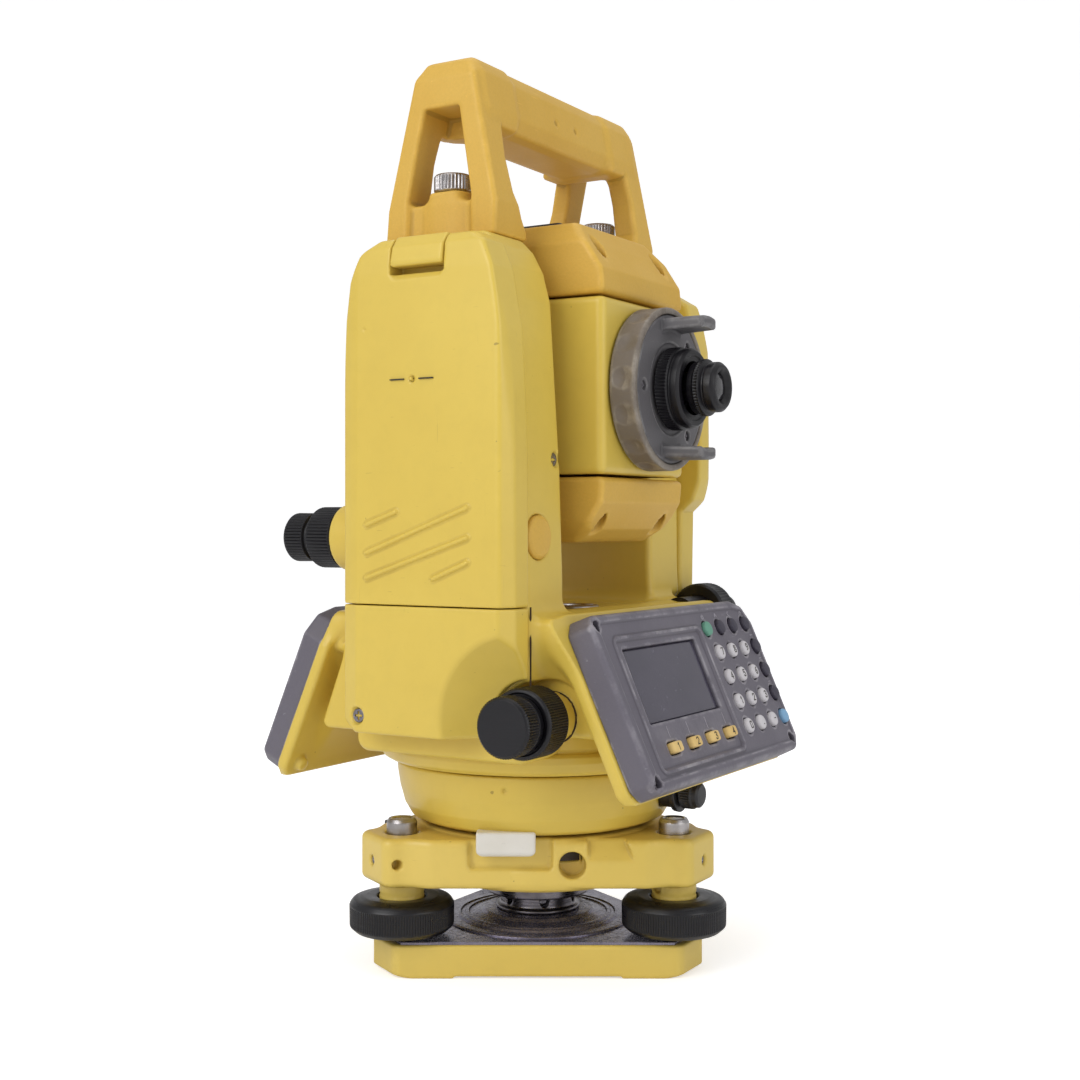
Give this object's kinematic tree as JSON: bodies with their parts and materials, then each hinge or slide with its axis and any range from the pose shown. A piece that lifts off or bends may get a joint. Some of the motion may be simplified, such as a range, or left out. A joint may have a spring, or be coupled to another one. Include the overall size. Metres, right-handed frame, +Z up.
{
  "type": "surveying total station",
  "caption": "Electronic surveying total station with keyboard panels, tilting telescope, carrying handle and a three-screw levelling base.",
  "frame": {"origin": "on the vertical turning axis, at the underside of the base plate, which is the mouth of the tripod thread", "axes": "+Z up along the vertical turning axis; X is the telescope tilt axis, with the battery on the -X side; the eyepiece and the front keyboard face -Y"},
  "size_m": [0.1835, 0.165, 0.335],
  "materials": {
    "yellow_paint": "semi-gloss paint over cast light alloy",
    "amber_plastic": "finely grained moulding",
    "grey_plastic": "satin moulding with worn edges",
    "taupe_plastic": "finely grained moulding",
    "black_plastic": "matte moulding",
    "black_metal": "black anodised and knurled",
    "steel": "turned and plated",
    "polished_steel": "polished, darkened by use",
    "white_plastic": "smooth moulding",
    "optical_glass": "coated optical glass",
    "level_glass": "level vial",
    "display_window": "smoked window",
    "board": "soldered board",
    "white_keys": "silicone keys",
    "green_key": "silicone key",
    "dark_keys": "silicone keys",
    "blue_key": "silicone key",
    "yellow_keys": "silicone keys"
  },
  "bodies": {
    "base": {"base_plate": "yellow_paint", "thread_post": "steel", "spring_plate": "polished_steel"},
    "foot_left": {"foot_screw_left": "black_metal"},
    "foot_right": {"foot_screw_right": "black_metal"},
    "foot_back": {"foot_screw_back": "black_metal"},
    "tribrach": {"tribrach_body": "yellow_paint", "tribrach_fittings": "steel"},
    "lock": {"clamp_lever": "steel"},
    "instrument": {"lower_base": "yellow_paint", "alignment_block": "white_plastic", "base_studs": "steel", "horizontal_circle": "optical_glass", "serial_connector": "black_plastic"},
    "cap": {"serial_cap": "black_plastic"},
    "alidade": {"alidade_frame": "yellow_paint", "vertical_spindle": "steel", "lower_cover": "yellow_paint", "far_cover": "yellow_paint", "front_panel": "grey_plastic", "rear_panel": "grey_plastic", "front_display": "display_window", "rear_display": "display_window", "circuit_board": "board", "tilt_bearings": "steel", "circular_level": "level_glass", "access_plug": "amber_plastic", "fixing_screws": "steel", "plummet_barrel": "black_metal"},
    "plummet_focus": {"plummet_focus_ring": "black_metal"},
    "plummet_eye": {"plummet_eyepiece": "black_metal"},
    "h_clamp": {"horizontal_clamp": "black_metal"},
    "h_tangent": {"horizontal_tangent": "black_metal"},
    "v_clamp": {"vertical_clamp": "black_metal"},
    "v_tangent": {"vertical_tangent": "black_metal"},
    "battery": {"battery_pack": "yellow_paint"},
    "latch": {"battery_latch": "yellow_paint"},
    "power": {"power_key": "green_key"},
    "numbers": {"number_keys": "white_keys"},
    "menu": {"menu_keys": "dark_keys"},
    "enter": {"enter_key": "blue_key"},
    "functions": {"function_keys": "yellow_keys"},
    "rear_round": {"rear_keys": "white_keys"},
    "rear_functions": {"rear_function_keys": "yellow_keys"},
    "telescope": {"telescope_body": "yellow_paint", "telescope_top": "amber_plastic", "telescope_bottom": "amber_plastic", "tilt_axles": "steel", "vertical_circle": "optical_glass", "objective_barrel": "black_metal", "objective_lens": "optical_glass", "optical_sight": "black_plastic", "telescope_grip": "grey_plastic"},
    "focus": {"focus_ring": "taupe_plastic"},
    "focus_cell": {"focusing_lens": "optical_glass"},
    "eye_mount": {"eyepiece_mount": "black_metal"},
    "ocular": {"eyepiece": "black_metal"},
    "handle": {"carrying_handle": "amber_plastic"},
    "thumb_near": {"handle_screw_near": "steel"},
    "thumb_far": {"handle_screw_far": "steel"}
  },
  "joints": [
    {"name": "screw_left_turn", "type": "hinge", "parent": "base", "child": "foot_left", "pos_m": [-0.05151, 0.02856, 0.022], "axis": [0, 0, 1], "range_deg": [-1441, 1441]},
    {"name": "screw_right_turn", "type": "hinge", "parent": "base", "child": "foot_right", "pos_m": [0.00103, -0.05889, 0.022], "axis": [0, 0, 1], "range_deg": [-1441, 1441]},
    {"name": "screw_back_turn", "type": "hinge", "parent": "base", "child": "foot_back", "pos_m": [0.05049, 0.03034, 0.022], "axis": [0, 0, 1], "range_deg": [-1441, 1441]},
    {"name": "level_lift", "type": "slide", "parent": "base", "child": "tribrach", "axis": [0, 0, 1], "range_m": [-0.003, 0.003]},
    {"name": "lever_swing", "type": "hinge", "parent": "tribrach", "child": "lock", "pos_m": [0, 0, 0.046], "axis": [0, 0, 1], "range_deg": [-38, 0]},
    {"name": "instrument_lift", "type": "slide", "parent": "tribrach", "child": "instrument", "axis": [0, 0, 1], "range_m": [0, 0.08]},
    {"name": "cap_pull", "type": "slide", "parent": "instrument", "child": "cap", "axis": [0, -1, 0], "range_m": [0, 0.02]},
    {"name": "alidade_turn", "type": "hinge", "parent": "instrument", "child": "alidade", "pos_m": [0, 0, 0.07], "axis": [0, 0, 1], "continuous": true},
    {"name": "telescope_tilt", "type": "hinge", "parent": "alidade", "child": "telescope", "pos_m": [0, 0, 0.2175], "axis": [1, 0, 0], "continuous": true},
    {"name": "focus_turn", "type": "hinge", "parent": "telescope", "child": "focus", "pos_m": [0, -0.053, 0.2175], "axis": [0, -1, 0], "range_deg": [-150, 150]},
    {"name": "focus_slide", "type": "slide", "parent": "telescope", "child": "focus_cell", "axis": [0, 1, 0], "range_m": [-0.0079, 0.0079]},
    {"name": "eye_mount_turn", "type": "hinge", "parent": "telescope", "child": "eye_mount", "pos_m": [0, -0.063, 0.2175], "axis": [0, -1, 0], "range_deg": [0, 30]},
    {"name": "ocular_turn", "type": "hinge", "parent": "telescope", "child": "ocular", "pos_m": [0, -0.074, 0.2175], "axis": [0, -1, 0], "range_deg": [-180, 180]},
    {"name": "h_clamp_turn", "type": "hinge", "parent": "alidade", "child": "h_clamp", "pos_m": [-0.06, -0.0402, 0.0995], "axis": [-1, 0, 0], "range_deg": [0, 90]},
    {"name": "h_tangent_turn", "type": "hinge", "parent": "alidade", "child": "h_tangent", "pos_m": [-0.06, -0.0402, 0.0995], "axis": [-1, 0, 0], "range_deg": [-1080, 1080]},
    {"name": "v_clamp_turn", "type": "hinge", "parent": "alidade", "child": "v_clamp", "pos_m": [-0.06, 0.054, 0.162], "axis": [0, 1, 0], "range_deg": [0, 90]},
    {"name": "v_tangent_turn", "type": "hinge", "parent": "alidade", "child": "v_tangent", "pos_m": [-0.06, 0.054, 0.162], "axis": [0, 1, 0], "range_deg": [-1080, 1080]},
    {"name": "plummet_focus_turn", "type": "hinge", "parent": "alidade", "child": "plummet_focus", "pos_m": [0.072, -0.0378, 0.13], "axis": [1, 0, 0], "range_deg": [-90, 90]},
    {"name": "plummet_eye_turn", "type": "hinge", "parent": "alidade", "child": "plummet_eye", "pos_m": [0.072, -0.0378, 0.13], "axis": [1, 0, 0], "range_deg": [-180, 180]},
    {"name": "battery_release", "type": "slide", "parent": "alidade", "child": "battery", "axis": [-1, 0, 0], "range_m": [0, 0.06]},
    {"name": "latch_press", "type": "slide", "parent": "battery", "child": "latch", "axis": [0, 0, -1], "range_m": [0, 0.002], "stiffness_N_per_m": 900},
    {"name": "power_press", "type": "slide", "parent": "alidade", "child": "power", "axis": [0, 0.9157, -0.4019], "range_m": [0, 0.0008], "stiffness_N_per_m": 900},
    {"name": "number_press", "type": "slide", "parent": "alidade", "child": "numbers", "axis": [0, 0.9157, -0.4019], "range_m": [0, 0.0008], "stiffness_N_per_m": 900},
    {"name": "menu_press", "type": "slide", "parent": "alidade", "child": "menu", "axis": [0, 0.9157, -0.4019], "range_m": [0, 0.0008], "stiffness_N_per_m": 900},
    {"name": "enter_press", "type": "slide", "parent": "alidade", "child": "enter", "axis": [0, 0.9157, -0.4019], "range_m": [0, 0.0008], "stiffness_N_per_m": 900},
    {"name": "function_press", "type": "slide", "parent": "alidade", "child": "functions", "axis": [0, 0.9157, -0.4019], "range_m": [0, 0.0008], "stiffness_N_per_m": 900},
    {"name": "rear_round_press", "type": "slide", "parent": "alidade", "child": "rear_round", "axis": [0, -0.9157, -0.4019], "range_m": [0, 0.0008], "stiffness_N_per_m": 900},
    {"name": "rear_function_press", "type": "slide", "parent": "alidade", "child": "rear_functions", "axis": [0, -0.9157, -0.4019], "range_m": [0, 0.0008], "stiffness_N_per_m": 900},
    {"name": "handle_lift", "type": "slide", "parent": "alidade", "child": "handle", "axis": [0, 0, 1], "range_m": [0, 0.05]},
    {"name": "thumb_near_turn", "type": "hinge", "parent": "handle", "child": "thumb_near", "pos_m": [-0.055, 0.003, 0.29], "axis": [0, 0, 1], "range_deg": [0, 1440]},
    {"name": "thumb_far_turn", "type": "hinge", "parent": "handle", "child": "thumb_far", "pos_m": [0.055, 0.003, 0.29], "axis": [0, 0, 1], "range_deg": [0, 1440]}
  ],
  "couplings": [
    {"joint": "screw_left_turn", "follows": "level_lift", "rad_per_m": 8377.6},
    {"joint": "screw_right_turn", "follows": "level_lift", "rad_per_m": 8377.6},
    {"joint": "screw_back_turn", "follows": "level_lift", "rad_per_m": 8377.6},
    {"joint": "focus_turn", "follows": "focus_slide", "rad_per_m": 327.8}
  ]
}
